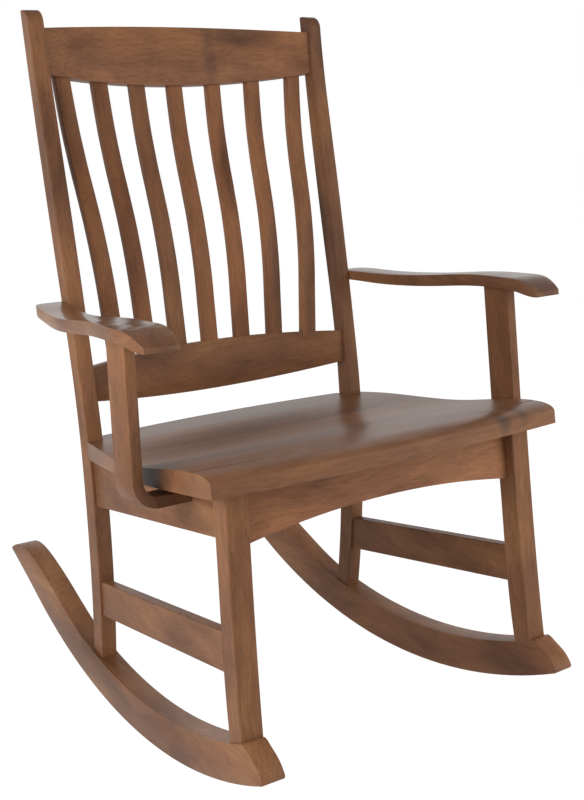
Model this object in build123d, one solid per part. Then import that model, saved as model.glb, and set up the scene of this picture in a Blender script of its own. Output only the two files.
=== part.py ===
from build123d import *
import math
import os

# Hickory rocking chair, in millimetres.
# Bench frame: the side stretchers lie level, X points to the sitter's left, Y to the rear and Z up.
# Y = 0 is the front of the front legs, Z = 0 the lowest point of the rockers.
# Side frame: the same, but X is measured from the middle plane of the left rocker, which is toed in.
# At the end the whole chair leans back to the angle at which it balances and stands on Z = 0.

# Heights that the rest of the chair follows: the seat's underside at Y = 0, and the post tops
seat_under_height = 412.3
post_top_height = 1109.5

# Rockers
rocker_radius = 813.6
rocker_centre_y = 207.0
rocker_width = 35.5
rocker_depth = 57.0
rocker_top_radius = 776.4
rocker_top_centre_y = 196.0
rocker_spacing = 517.0
toe_in = 1.72
nose_overhang = 46.0
nose_tip_height = 44.0
nose_sole_setback = 2.0
nose_root_y = -4.0
nose_line = [(-17, 76), (-30, 66.5)]
tail_length = 786.0
tail_tip_height = 225.0
tail_crown_line = [(732, 236.5), (663, 213), (609, 183), (540, 140)]
tail_top_y = 480.0
tail_under_y = 700.0
tail_under_bend = (47.0, 32.0)

# Front legs
leg_width = 34.4
leg_depth_foot = 33.3
leg_depth_waist = 30.8
leg_depth_top = 37.5
leg_back_foot = 29.5
leg_waist_height = seat_under_height - 122.3
leg_top_forward = 10.0
leg_splay = 1.81
leg_setback = 2.4
leg_foot_y = leg_depth_foot / 2
leg_waist_back = leg_depth_waist - leg_top_forward / 3

# Rear posts: height, front edge and depth at each station from foot to top
post_width = 26.3
post_stations = [
    (60, 446.5, 32),
    (211, 411, 32),
    (338, 392, 32),
    (440, 383.5, 30),
    (570, 384, 26.5),
    (720, 389, 28.5),
    (880, 397, 28),
    (post_top_height - 79.5, 404.5, 24.5),
]
post_top_flat = 2.5
post_splay = 0.55
post_setback = 6.0
post_foot_y = 452.0
post_foot_rake = 14.0

# Side stretchers and the aprons under the seat
stretcher_bottom = 167.0
stretcher_height = 56.6
stretcher_thickness = 18.0
stretcher_setback = 3.5
side_apron_depth = 64.3
apron_thickness = 19.0
side_apron_setback = 5.0
front_apron_y = 8.0
front_apron_end_depth = 77.4
front_apron_arch = 20.0
front_apron_arch_inset = 4.0
rear_apron_setback = 9.0
rear_apron_depth = 52.3

# Seat
seat_tilt = 1.7
seat_thickness = 31.5
seat_front_width = rocker_spacing + 91.0
seat_wide_width = rocker_spacing + 102.0
seat_post_width = rocker_spacing + 19.0
seat_front_y = -33.0
seat_wide_y = 120.0
seat_waist_y = 292.0
seat_waist_width = rocker_spacing + 60.0
seat_front_bow = 19.0
seat_rear_overhang = 1.0
seat_rear_bow = 32.0
seat_rear_corner = 14.0
seat_side_flat = 1.5
seat_notch_lead = 6.0
seat_roll_length = 44.0
seat_roll_drop = 14.0
scoop_edge_depth = 11.0
scoop_middle_depth = 15.0
scoop_front_y = 20.0
scoop_deepest_y = 190.0
scoop_rear_run = 170.0
scoop_rear_share = 0.38
seat_board_count = 5
post_notch_gap = 0.3

# Back rails and slats
crest_face_setback = 7.0
crest_bow = 40.0
crest_thickness = 19.0
crest_bottom = post_top_height - 99.0
crest_bottom_dip = 10.8
crest_top = post_top_height - 29.0
crest_top_rise = 13.5
lower_rail_face_setback = 4.5
lower_rail_bow = 38.0
lower_rail_thickness = 20.0
lower_rail_bottom = seat_under_height + 97.6
lower_rail_bottom_dip = 14.0
lower_rail_top = seat_under_height + 150.7
lower_rail_top_rise = 13.0
rail_end_inset = 14.0
slat_count = 7
slat_thickness = 13.9
slat_width_bottom = 27.8
slat_width_top = 25.8
slat_pitch_bottom = 0.12 * rocker_spacing
slat_pitch_top = 0.1412 * rocker_spacing
slat_housing = 12.0
slat_bow_bottom = 23.5
slat_bow_top = 32.2

# Front face of the outermost slats: share of the height from lower rail to crest, and Y
slat_face = [
    (-0.163, 410), (0.016, 406), (0.159, 403), (0.3, 400.5), (0.442, 403),
    (0.583, 410.5), (0.724, 419.5), (0.867, 424), (1.111, 422),
]

# Arms: plan edges as distance outward from the rocker's middle and Y, from back to front and
# from front to back, then the side profile as Y and height above the seat's underside
arm_outer_edge = [
    (67.5, 374), (75.5, 330), (87.5, 273), (96, 190),
    (103.5, 128), (111.5, 57), (109.5, 22), (102.5, -7),
]
arm_inner_edge = [
    (52.5, -9), (48.5, 20), (48.5, 68), (50.5, 125),
    (46.5, 215), (36.5, 280), (25.5, 335), (12, 388),
]
arm_rear_inset = 2.0
arm_corner_width = 24.0
arm_corner_depth = 12.0
arm_end_y = -9.0
arm_top_line = [
    (430, 258.2), (366, 249.2), (338, 244.7), (280, 237.7), (215, 233.2),
    (147, 230.7), (106, 227.7), (57, 221.7), (22, 214.7), (3, 203.7),
]
arm_nose_height = 193.7
arm_under_line = [
    (430, 242.2), (366, 233.2), (338, 227.7), (280, 219.7), (215, 214.7),
    (136, 211.7), (97, 208.7), (57, 203.7), (22, 195.7), (3, 189.2),
]
arm_end_height = 187.2

# Arm posts: a blade bent through a right angle into a foot
arm_post_thickness = 15.5
arm_post_depth = 50.0
arm_post_top_x = rocker_spacing / 2 + 87.8
arm_post_bend_x = rocker_spacing / 2 + 93.5
arm_post_bend_radius = 38.0
arm_post_foot_bottom = seat_under_height - 21.3
arm_post_front_top_y = 70.5
arm_post_rake = 3.1
arm_post_overrun = 34.0

# Joints
tenon_thickness = 9.0
rail_tenon_thickness = 8.0
tenon_shoulder = 9.0
tenon_root = 8.0
leg_tenon_length = 20.0
post_tenon_length = 18.0
cross_tenon_length = 13.0
tenon_clearance = 1.0
arm_tenon_width = 36.0
arm_tenon_thickness = 8.0
arm_tenon_length = 11.0

# Corner blocks, with the taper of the side apron's inner face that their ends allow for
block_width = 24.0
block_height = 30.0
block_reach = 54.0
block_bury = 12.5
apron_taper = 1.5

# Fasteners
bore_clearance = 0.1
dowel_diameter = 8.0
dowel_spacing = 19.0
rocker_dowel_down = 22.0
rocker_dowel_up = 28.0
arm_dowel_diameter = 7.0
arm_dowel_spacing = 13.0
arm_dowel_in_post = 14.0
arm_dowel_in_arm = 22.0
arm_dowel_setback = 30.0
lag_diameter = 6.0
lag_head_diameter = 11.0
lag_head_height = 4.0
lag_in_rocker = 40.0
lag_in_leg = 45.0
plug_diameter = 12.0
screw_diameter = 4.2
screw_head_diameter = 8.4
screw_head_height = 3.0
counterbore_diameter = 9.0
counterbore_run = 40.0
block_screw_seating = 9.0
screw_in_apron = 14.0
seat_screw_seating = 20.0
screw_in_seat = 16.0
foot_screw_seating = 14.0
screw_in_foot = 24.0
foot_screw_spacing = 16.0

# Finish and weight
edge_radius = 2.0
slat_edge_radius = 1.6
wood_density = 0.80e-3
steel_density = 7.85e-3

# Room that construction blanks leave around a piece before it is cut to its neighbours
margin = 30.0
spare = 200.0
big = 2000.0


def tan_deg(angle):
    return math.tan(math.radians(angle))


def smooth(t):
    """Ease from 0 to 1."""
    t = min(max(t, 0.0), 1.0)
    return t * t * (3 - 2 * t)


def arc_height(radius, centre_z, offset):
    """Height of the lower half of a circle at a horizontal offset from its centre."""
    return centre_z - math.sqrt(radius**2 - offset**2)


def toed(shape):
    """Move a shape from the side frame to its place on the left of the chair."""
    turn = Pos(rocker_spacing / 2, rocker_centre_y, 0) * Rot(0, 0, toe_in)
    return turn * Pos(0, -rocker_centre_y, 0) * shape


def mirrored(shape):
    """The right-hand copy of a left-hand shape."""
    return mirror(shape, about=Plane.YZ)


def side_plate(outline, thickness):
    """A plate of the given thickness, centred on X = 0, from a closed outline in Y and Z."""
    return extrude(Plane.YZ * make_face(outline), thickness / 2, both=True)


def eased(plate, radius, shortest):
    """Round over the arrises around both flat faces of a plate, leaving out the shortest ones."""
    faces = plate.faces().sort_by(Axis.X)
    edges = faces[0].edges() + faces[-1].edges()
    return fillet(edges.filter_by(lambda edge: edge.length > shortest), radius)


def block(x0, x1, y0, y1, z0, z1):
    """A rectangular block between two corners."""
    return Pos((x0 + x1) / 2, (y0 + y1) / 2, (z0 + z1) / 2) * Box(x1 - x0, y1 - y0, z1 - z0)


def rod(diameter, start, end):
    """A round rod along Z from one height to another."""
    return Pos(0, 0, (start + end) / 2) * Cylinder(diameter / 2, end - start)


def bore(diameter, start, end):
    """The hole for a rod, a little wider and longer."""
    return rod(diameter + 2 * bore_clearance, start - bore_clearance, end + bore_clearance)


def under_seat_height(y):
    return seat_under_height + y * tan_deg(seat_tilt)


def below_seat():
    """All the space below the plane of the seat's underside."""
    return Pos(0, 0, seat_under_height) * Rot(seat_tilt, 0, 0) * block(-big, big, -big, big, -big, 0)


# Heights that the rockers set for what stands on them
rocker_top_centre_z = rocker_depth + rocker_top_radius
rocker_centre_z = rocker_radius


def rocker_top(y):
    return arc_height(rocker_top_radius, rocker_top_centre_z, y - rocker_top_centre_y)


def rocker_bottom(y):
    return arc_height(rocker_radius, rocker_centre_z, y - rocker_centre_y)


def above_rocker():
    """All the space above the hollow of the rocker's top, in the side frame."""
    circle = Pos(rocker_top_centre_y, rocker_top_centre_z) * Circle(rocker_top_radius)
    return extrude(Plane.YZ * circle, spare, both=True)


def make_rocker():
    """Sawn to a circle below and a flatter one above, with a rounded nose and an upswept tail."""
    nose_tip = (-nose_overhang, nose_tip_height)
    tail_tip = (tail_length, tail_tip_height)
    sole_front_y = nose_sole_setback - nose_overhang
    low_front = (sole_front_y, rocker_bottom(sole_front_y))
    low_middle = (rocker_centre_y, 0)
    low_rear = (tail_under_y, rocker_bottom(tail_under_y))
    top_rear = (tail_top_y, rocker_top(tail_top_y))
    top_middle = (rocker_top_centre_y, rocker_depth)
    top_front = (nose_root_y, rocker_top(nose_root_y))
    sole = ThreePointArc(low_front, low_middle, low_rear)
    bend = (low_rear[0] + tail_under_bend[0], low_rear[1] + tail_under_bend[1])
    under_tail = Spline(low_rear, bend, tail_tip)
    over_tail = Spline(tail_tip, *tail_crown_line, top_rear)
    top = ThreePointArc(top_rear, top_middle, top_front)
    nose = Spline(top_front, *nose_line, nose_tip, tangents=[(-1, -0.1), (-0.4, -1)])
    outline = sole + under_tail + over_tail + top + nose + Line(nose_tip, low_front)
    return side_plate(outline, rocker_width)


leg_offset = rocker_width / 2 - leg_setback - leg_width / 2
post_offset = rocker_width / 2 - post_setback - post_width / 2


def leg_frame(shape):
    """Move a shape from the foot of a front leg, up its axis, into the side frame."""
    return Pos(leg_offset, leg_foot_y, rocker_top(leg_foot_y)) * Rot(0, -leg_splay, 0) * shape


def post_frame(shape):
    """Move a shape from the foot of a rear post, up its axis, into the side frame."""
    turn = Rot(0, post_splay, 0) * Rot(post_foot_rake, 0, 0)
    return Pos(post_offset, post_foot_y, rocker_top(post_foot_y)) * turn * shape


def leg_outer(z):
    """Side-frame X of the leg's outer face at a height."""
    return leg_offset + leg_width / 2 - (z - rocker_top(leg_foot_y)) * tan_deg(leg_splay)


def post_outer(z):
    """Side-frame X of the rear post's outer face at a height."""
    return post_offset + post_width / 2 + (z - rocker_top(post_foot_y)) * tan_deg(post_splay)


def station_curve(stations, value):
    """Interpolate a list of (position, value, ...) rows at one position."""
    for low, high in zip(stations, stations[1:]):
        if low[0] <= value <= high[0]:
            share = (value - low[0]) / (high[0] - low[0])
            return [a + share * (b - a) for a, b in zip(low[1:], high[1:])]
    return list(stations[-1][1:])


def leg_back(z):
    """Y of the front leg's rear face at a height."""
    foot_z = rocker_top(leg_foot_y)
    share = min((z - foot_z) / (leg_waist_height - foot_z), 1)
    return leg_depth_foot + share * (leg_waist_back - leg_depth_foot)


def post_front(z):
    return station_curve(post_stations, z)[0]


def post_back(z):
    front, depth = station_curve(post_stations, z)
    return front + depth


def leg_blank():
    """The front leg: nearly straight at the foot, sweeping forward and thickening under the seat."""
    low = rocker_top(leg_foot_y) - margin
    high = seat_under_height + margin
    calf = (low + leg_waist_height) / 2
    front_waist = leg_waist_back - leg_depth_waist
    front = Spline((0, low), (0, calf), (front_waist, leg_waist_height), (-leg_top_forward, high))
    back_top = leg_depth_top - leg_top_forward
    back_waist = (leg_waist_back, leg_waist_height + margin)
    back = Spline((back_top, high), back_waist, (leg_depth_foot, calf), (leg_back_foot, low))
    outline = front + Line(front @ 1, back @ 0) + back + Line(back @ 1, front @ 0)
    plate = eased(side_plate(outline, leg_width), edge_radius, 2 * leg_depth_foot)
    foot = Pos(0, leg_foot_y, rocker_top(leg_foot_y))
    splayed = foot * Rot(0, -leg_splay, 0) * foot.inverse() * plate
    return toed((Pos(leg_offset, 0, 0) * splayed) & above_rocker()) & below_seat()


def post_blank():
    """The rear post: raked leg, upright back and a top rounded over from front to back."""
    front_points = [(y, z) for z, y, depth in post_stations]
    back_points = [(y + depth, z) for z, y, depth in reversed(post_stations)]
    top_front_y, top_depth = post_stations[-1][1], post_stations[-1][2]
    round_radius = top_depth - post_top_flat
    shoulder = (top_front_y, post_top_height - round_radius)
    crown = (shoulder[0] + round_radius, post_top_height)
    back_corner = (top_front_y + top_depth, post_top_height)
    corner = CenterArc((crown[0], shoulder[1]), round_radius, 90, 90)
    front = Spline(*front_points, shoulder)
    back = Spline(back_corner, *back_points)
    outline = front + corner + Line(crown, back_corner) + back + Line(back_points[-1], front_points[0])
    plate = eased(side_plate(outline, post_width), edge_radius, 0)
    foot = Pos(0, post_foot_y, rocker_top(post_foot_y))
    splayed = foot * Rot(0, post_splay, 0) * foot.inverse() * plate
    return toed((Pos(post_offset, 0, 0) * splayed) & above_rocker())


def beyond_post():
    """All the space outward of the plane of the left post's inner face."""
    foot = Pos(0, post_foot_y, rocker_top(post_foot_y))
    space = block(-post_width / 2, spare, -big, big, -big, big)
    return toed(Pos(post_offset, 0, 0) * foot * Rot(0, post_splay, 0) * foot.inverse() * space)


def between_posts(shape):
    """Cut a cross rail's ends to the inner faces of the two posts."""
    beyond = beyond_post()
    return shape - beyond - mirrored(beyond)


def side_board(outer_front, outer_rear, thickness, z0, z1, ease):
    """A board between leg and post, its outer face set by its side-frame X at either end."""
    front_y, rear_y = leg_foot_y, post_front(z0)
    run = rear_y - front_y
    angle = math.degrees(math.atan2(outer_front - outer_rear, run))
    length = run + 4 * tenon_shoulder
    board = block(-thickness, 0, -2 * tenon_shoulder, length, z0, z1)
    if ease:
        board = fillet(board.edges().filter_by(Axis.Y), ease)
    return toed(Pos(outer_front, front_y, 0) * Rot(0, 0, angle) * board)


def side_tenons(outer_front, outer_rear, thickness, z0, z1, front_length, rear_length):
    """The tenons of a side board: one into the front leg, one into the rear post."""
    front_y, rear_y = leg_foot_y, post_front(z0)
    angle = math.degrees(math.atan2(outer_front - outer_rear, rear_y - front_y))
    middle = -thickness / 2
    half = tenon_thickness / 2
    leg_face = leg_back(z0) - front_y
    post_face = post_front((z0 + z1) / 2) - front_y
    x0, x1 = middle - half, middle + half
    front = block(x0, x1, leg_face - front_length, leg_face + tenon_root, z0, z1)
    rear = block(x0, x1, post_face - tenon_root, post_face + rear_length, z0, z1)
    place = Pos(outer_front, front_y, 0) * Rot(0, 0, angle)
    return toed(place * front), toed(place * rear)


def middle_solid(shape):
    """The largest solid, once what stuck out past a neighbour has been cut off."""
    return shape.solids().sort_by(SortBy.VOLUME)[-1]


def make_side_stretcher(leg, post):
    z0, z1 = stretcher_bottom, stretcher_bottom + stretcher_height
    outer_front = leg_outer(z0) - stretcher_setback
    outer_rear = post_outer(z0) - stretcher_setback
    board = side_board(outer_front, outer_rear, stretcher_thickness, z0, z1, edge_radius)
    tenons = side_tenons(
        outer_front, outer_rear, stretcher_thickness, z0 + tenon_shoulder, z1 - tenon_shoulder,
        leg_tenon_length, post_tenon_length,
    )
    return middle_solid(board - leg - post), tenons


def rear_apron_front():
    """Y of the rear apron's front face."""
    return post_front(seat_under_height) + rear_apron_setback


def make_side_apron(leg, post):
    z0, z1 = seat_under_height - side_apron_depth, seat_under_height + spare
    outer_front = leg_outer(z0) - side_apron_setback
    outer_rear = post_outer(z0) - side_apron_setback
    board = side_board(outer_front, outer_rear, apron_thickness, z0, z1, 0) & below_seat()
    low, high = z0 + tenon_shoulder, seat_under_height - tenon_shoulder
    rear_tenon_face = rear_apron_front() + (apron_thickness - tenon_thickness) / 2
    rear_length = rear_tenon_face - tenon_clearance - post_front((low + high) / 2)
    tenons = side_tenons(
        outer_front, outer_rear, apron_thickness, low, high, leg_tenon_length, rear_length
    )
    return middle_solid(board - leg - post), tenons


def cross_tenon(shoulder_x, face_y, z0, z1):
    """The tenon at the left end of a cross apron, in the middle of its thickness."""
    y0 = face_y + (apron_thickness - tenon_thickness) / 2
    x0, x1 = shoulder_x - tenon_root, shoulder_x + cross_tenon_length
    return block(x0, x1, y0, y0 + tenon_thickness, z0, z1)


def make_front_apron(legs):
    """Straight board between the front legs, its lower edge cut to an arch."""
    half = rocker_spacing / 2 - leg_width / 2
    z0, z1 = seat_under_height - front_apron_end_depth, seat_under_height + spare
    rise = (0, z0 + front_apron_arch)
    foot = half - front_apron_arch_inset
    arch = ThreePointArc((-foot, z0), rise, (foot, z0))
    sides = Polyline((foot, z0), (half, z0), (half, z1), (-half, z1), (-half, z0), (-foot, z0))
    y1 = front_apron_y + apron_thickness
    board = extrude(Plane.XZ.offset(-y1) * make_face(arch + sides), apron_thickness)
    board = middle_solid((board & below_seat()) - legs[0] - legs[1])
    inner = legs[0].bounding_box().min.X
    low, high = z0 + front_apron_arch, seat_under_height - tenon_shoulder
    tenon = cross_tenon(inner, front_apron_y, low, high)
    return board, (tenon, mirrored(tenon))


def make_rear_apron():
    """Board between the rear posts that carries the back of the seat."""
    z0, z1 = seat_under_height - rear_apron_depth, seat_under_height + spare
    y0 = rear_apron_front()
    board = block(-rocker_spacing / 2, rocker_spacing / 2, y0, y0 + apron_thickness, z0, z1)
    board = between_posts(board & below_seat())
    inner = board.bounding_box().max.X
    tenon = cross_tenon(inner, y0, z0 + tenon_shoulder, seat_under_height - tenon_shoulder)
    return board, (tenon, mirrored(tenon))


def seat_plan():
    """The seat seen from above: bowed front, sides swelling at the thighs, bowed rear edge."""
    front_half, wide_half = seat_front_width / 2, seat_wide_width / 2
    waist_half, post_half = seat_waist_width / 2, seat_post_width / 2
    post_y = post_front(seat_under_height + seat_thickness)
    rear_y = post_back(seat_under_height + seat_thickness) + seat_rear_overhang
    rear_half = post_half - seat_rear_corner
    front_left, front_right = (front_half, seat_front_y), (-front_half, seat_front_y)
    side = Spline(
        front_left, (wide_half - seat_side_flat, (seat_front_y + seat_wide_y) / 2),
        (wide_half, seat_wide_y), (waist_half, seat_waist_y), (post_half, post_y + seat_notch_lead),
    )
    far_side = mirror(side, about=Plane.YZ)
    front = ThreePointArc(front_right, (0, seat_front_y - seat_front_bow), front_left)
    rear = ThreePointArc((rear_half, rear_y), (0, rear_y + seat_rear_bow), (-rear_half, rear_y))
    joins = Line(side @ 1, rear @ 0) + Line(rear @ 1, far_side @ 1)
    return make_face(front + side + joins + rear + far_side)


def seat_top(x, y):
    """Height of the scooped top, without the roll at the front edge."""
    plane = under_seat_height(y) + seat_thickness
    outward = (2 * x / seat_wide_width) ** 2
    across = scoop_middle_depth + (scoop_edge_depth - scoop_middle_depth) * outward
    if y < scoop_deepest_y:
        share = smooth((y - scoop_front_y) / (scoop_deepest_y - scoop_front_y))
    else:
        share = 1 - (1 - scoop_rear_share) * smooth((y - scoop_deepest_y) / scoop_rear_run)
    return plane - across * share


def above_scoop():
    """All the space above the scooped top."""
    half = seat_wide_width / 2 + margin
    low_y = seat_front_y - seat_front_bow - margin
    high_y = post_back(seat_under_height) + seat_rear_bow + margin
    columns, rows = 9, 25
    grid = []
    for i in range(columns):
        x = -half + 2 * half * i / (columns - 1)
        ys = [low_y + (high_y - low_y) * j / (rows - 1) for j in range(rows)]
        grid.append([(x, y, seat_top(x, y)) for y in ys])
    surface = Face.make_surface_from_array_of_points(grid)
    return extrude(surface, amount=spare, dir=(0, 0, 1))


def front_roll():
    """What is planed off to roll the seat's front edge over, turned about the centre of its bow."""
    half = seat_front_width / 2
    bow_radius = (half**2 + seat_front_bow**2) / (2 * seat_front_bow)
    edge_y = seat_front_y - seat_front_bow
    axis = Axis((0, edge_y + bow_radius, 0), (0, 0, 1))
    start_y = edge_y + seat_roll_length
    crown_z = under_seat_height(start_y) + seat_thickness
    low_z = crown_z - seat_roll_drop
    curve = EllipticalCenterArc((start_y, low_z), seat_roll_length, seat_roll_drop, 90, arc_size=90)
    rest = Polyline(
        (edge_y, low_z), (edge_y - margin, low_z), (edge_y - margin, crown_z + margin),
        (start_y, crown_z + margin), (start_y, crown_z),
    )
    profile = Plane.YZ * make_face(curve + rest)
    swing = 2 * math.degrees(math.asin((half + margin) / bow_radius))
    cutter = revolve(profile, axis, swing)
    return cutter.rotate(axis, -swing / 2)


def make_seat(posts):
    """The glued-up seat, before it is parted into its boards."""
    blank = extrude(seat_plan(), seat_under_height + 3 * seat_thickness) - below_seat()
    seat = blank - above_scoop() - front_roll()
    z = seat_under_height
    notch_x = post_outer(z) - post_width - post_notch_gap
    notch_y = post_front(z + seat_thickness) - post_notch_gap
    notch = toed(block(notch_x, spare, notch_y, notch_y + spare, 0, big))
    return middle_solid(seat - notch - mirrored(notch) - posts[0] - posts[1])


def part_boards(seat):
    """Part the seat along its glue lines, which run from side to side."""
    box = seat.bounding_box()
    width = (box.max.Y - box.min.Y) / seat_board_count
    boards = []
    for i in range(seat_board_count):
        y0 = box.min.Y + i * width
        low = y0 if i else y0 - margin
        high = y0 + width if i < seat_board_count - 1 else y0 + width + margin
        boards.append(seat & block(-big, big, low, high, 0, big))
    return boards


def rail_half():
    """Half the clear width between the rear posts."""
    return rocker_spacing / 2 - rail_end_inset


def bowed_rail(end_y, bow, thickness, bottom, bottom_rise, top, top_rise):
    """A back rail: bowed to the rear in plan, crowned above and dipped below."""
    half = rail_half()
    radius = (half**2 + bow**2) / (2 * bow)
    centre_y = end_y + bow - radius
    ring = Pos(0, centre_y) * (Circle(radius + thickness) - Circle(radius))
    plan = ring & (Pos(0, end_y + bow) * Rectangle(2 * half + margin, 4 * bow))
    blank = extrude(plan, big)
    lower = ThreePointArc((-half, bottom), (0, bottom + bottom_rise), (half, bottom))
    upper = ThreePointArc((half, top), (0, top + top_rise), (-half, top))
    reach = half + margin
    left_end = Polyline((half, bottom), (reach, bottom), (reach, top), (half, top))
    right_end = Polyline((-half, top), (-reach, top), (-reach, bottom), (-half, bottom))
    elevation = make_face(lower + left_end + upper + right_end)
    return between_posts(blank & extrude(Plane.XZ * elevation, -big))


def rail_tenon(rail, end_y, thickness, bottom, top):
    """The stub tenon at a rail's left end."""
    end = rail.bounding_box().max.X
    y0 = end_y + (thickness - rail_tenon_thickness) / 2
    low, high = bottom + tenon_shoulder, top - tenon_shoulder
    return block(end - tenon_root, end + post_tenon_length, y0, y0 + rail_tenon_thickness, low, high)


def slat_height(share):
    return lower_rail_top + share * (crest_bottom - lower_rail_top)


def slat_setback(index, share):
    """How far a slat stands behind the outermost one, to follow the bow of the rails."""
    bow = slat_bow_bottom + share * (slat_bow_top - slat_bow_bottom)
    middle = (slat_count - 1) / 2
    return bow * (1 - ((index - middle) / middle) ** 2)


def make_slat(index):
    """One back slat, curved to the sitter's back and a little narrower at the top."""
    front = [(y + slat_setback(index, share), slat_height(share)) for share, y in slat_face]
    back = [(y + slat_thickness, z) for y, z in reversed(front)]
    front_line, back_line = Spline(*front), Spline(*back)
    outline = front_line + Line(front[-1], back[0]) + back_line + Line(back[-1], front[0])
    bent = extrude(Plane.YZ * make_face(outline), big / 2, both=True)
    place = index - (slat_count - 1) / 2
    corners = []
    bottom, top = slat_face[0][0], slat_face[-1][0]
    for share, side in ((bottom, -1), (bottom, 1), (top, 1), (top, -1)):
        centre = place * (slat_pitch_bottom + share * (slat_pitch_top - slat_pitch_bottom))
        width = slat_width_bottom + share * (slat_width_top - slat_width_bottom)
        corners.append((centre + side * width / 2, slat_height(share)))
    front_view = Plane.XZ * make_face(Polyline(*corners, close=True))
    slat = bent & extrude(front_view, -big)
    half_length = (crest_bottom - lower_rail_top) / 2
    return fillet(slat.edges().filter_by(lambda edge: edge.length > half_length), slat_edge_radius)


def slat_ends(index):
    """Heights at which a slat stops inside the lower and the crest rail."""
    place = index - (slat_count - 1) / 2
    low_share = 1 - (place * slat_pitch_bottom / rail_half()) ** 2
    high_share = 1 - (place * slat_pitch_top / rail_half()) ** 2
    low = lower_rail_top + lower_rail_top_rise * low_share - slat_housing
    high = crest_bottom - crest_bottom_dip * high_share + slat_housing
    return low, high


def make_arm(post):
    """A shaped board: swept in plan, dipping along its length, with a rolled front end."""
    rear_y = post_back(seat_under_height + arm_top_line[0][1]) - arm_rear_inset
    middle_x = rocker_spacing / 2
    outer_edge = [(middle_x + out, y) for out, y in arm_outer_edge]
    inner_edge = [(middle_x + out, y) for out, y in arm_inner_edge]
    round_start = outer_edge[0]
    rear_corner = (round_start[0] - arm_corner_width, rear_y)
    corner_middle = (round_start[0] - arm_corner_width / 3, rear_y - arm_corner_depth)
    outer = Spline(*outer_edge)
    inner = Spline(*inner_edge)
    rear = Spline(rear_corner, corner_middle, round_start, tangents=[(1, 0), (0.2, -1)])
    hidden = (inner_edge[-1][0] - tenon_root, rear_y)
    joins = Line(outer @ 1, inner @ 0) + Line(inner @ 1, hidden) + Line(hidden, rear_corner)
    plan = extrude(make_face(outer + inner + joins + rear), big)
    top = Spline(*arm_top_line, (arm_end_y, arm_nose_height))
    under = Spline((arm_end_y, arm_end_height), *reversed(arm_under_line))
    ends = Line(top @ 1, under @ 0) + Line(under @ 1, top @ 0)
    profile = extrude(Plane.YZ * make_face(top + ends + under), big / 2)
    return middle_solid((plan & (Pos(0, 0, seat_under_height) * profile)) - post)


def make_arm_post(arm, apron):
    """A blade let into the arm, bent at the seat so that its foot meets the side apron."""
    t, radius = arm_post_thickness, arm_post_bend_radius
    foot_top = arm_post_foot_bottom + t
    bend_z = arm_post_foot_bottom + radius
    top_z = seat_under_height + arm_end_height + arm_post_overrun
    top_x, bend_x = arm_post_top_x, arm_post_bend_x
    centre = (bend_x - radius, bend_z)
    foot_end = (rocker_spacing - apron_thickness) / 2
    foot = [(foot_end, arm_post_foot_bottom), (foot_end, foot_top)]
    outline = (
        Line((top_x, top_z), (bend_x, bend_z))
        + CenterArc(centre, radius, 0, -90)
        + Polyline((centre[0], arm_post_foot_bottom), *foot, (centre[0], foot_top))
        + CenterArc(centre, radius - t, -90, 90)
        + Polyline((bend_x - t, bend_z), (top_x - t, top_z), (top_x, top_z))
    )
    blank = extrude(Plane.XZ * make_face(outline), -big)
    rake = tan_deg(arm_post_rake)
    low_front = arm_post_front_top_y + rake * (top_z - arm_post_foot_bottom)
    corners = [
        (low_front, arm_post_foot_bottom), (low_front + arm_post_depth, arm_post_foot_bottom),
        (arm_post_front_top_y + arm_post_depth, top_z), (arm_post_front_top_y, top_z),
    ]
    side_view = extrude(Plane.YZ * make_face(Polyline(*corners, close=True)), big / 2)
    blade = blank & side_view
    blade = middle_solid(blade - arm - apron)
    middle_x = top_x - t / 2
    middle_y = arm_post_front_top_y + arm_post_depth / 2
    arm_under = seat_under_height + station_curve(sorted(arm_under_line), middle_y)[0]
    half_t, half_w = arm_tenon_thickness / 2, arm_tenon_width / 2
    tenon = block(
        middle_x - half_t, middle_x + half_t, middle_y - half_w, middle_y + half_w,
        arm_under - tenon_root, arm_under + arm_tenon_length,
    )
    return blade, tenon


def screw(diameter, head_diameter, head_height, length):
    """A screw along Z, head down, with the underside of its head at Z = 0."""
    return rod(head_diameter, -head_height, 0) + rod(diameter, -head_height / 2, length)


def wood_screw(length):
    return screw(screw_diameter, screw_head_diameter, screw_head_height, length)


def pilot(length):
    """The hole for a wood screw's shank."""
    return bore(screw_diameter, -screw_head_height, length)


def counterbore():
    """The hole that lets a wood screw's head in, open towards the driver."""
    return rod(counterbore_diameter, -counterbore_run, 0)


def facing(origin, direction):
    return Plane(origin=origin, z_dir=direction)


def corner_block(centre, turn, neighbours):
    """A diagonal block across a corner, its ends cut to the aprons and its top to the seat."""
    length = block_reach * math.sqrt(2) + 2 * block_bury
    z0 = under_seat_height(centre[1]) - block_height
    plank = block(-length / 2, length / 2, -block_width / 2, block_width / 2, z0, z0 + spare)
    plank = (Pos(centre[0], centre[1], 0) * Rot(0, 0, turn) * plank) & below_seat()
    for neighbour in neighbours:
        plank = plank - neighbour
    return middle_solid(plank)


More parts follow.
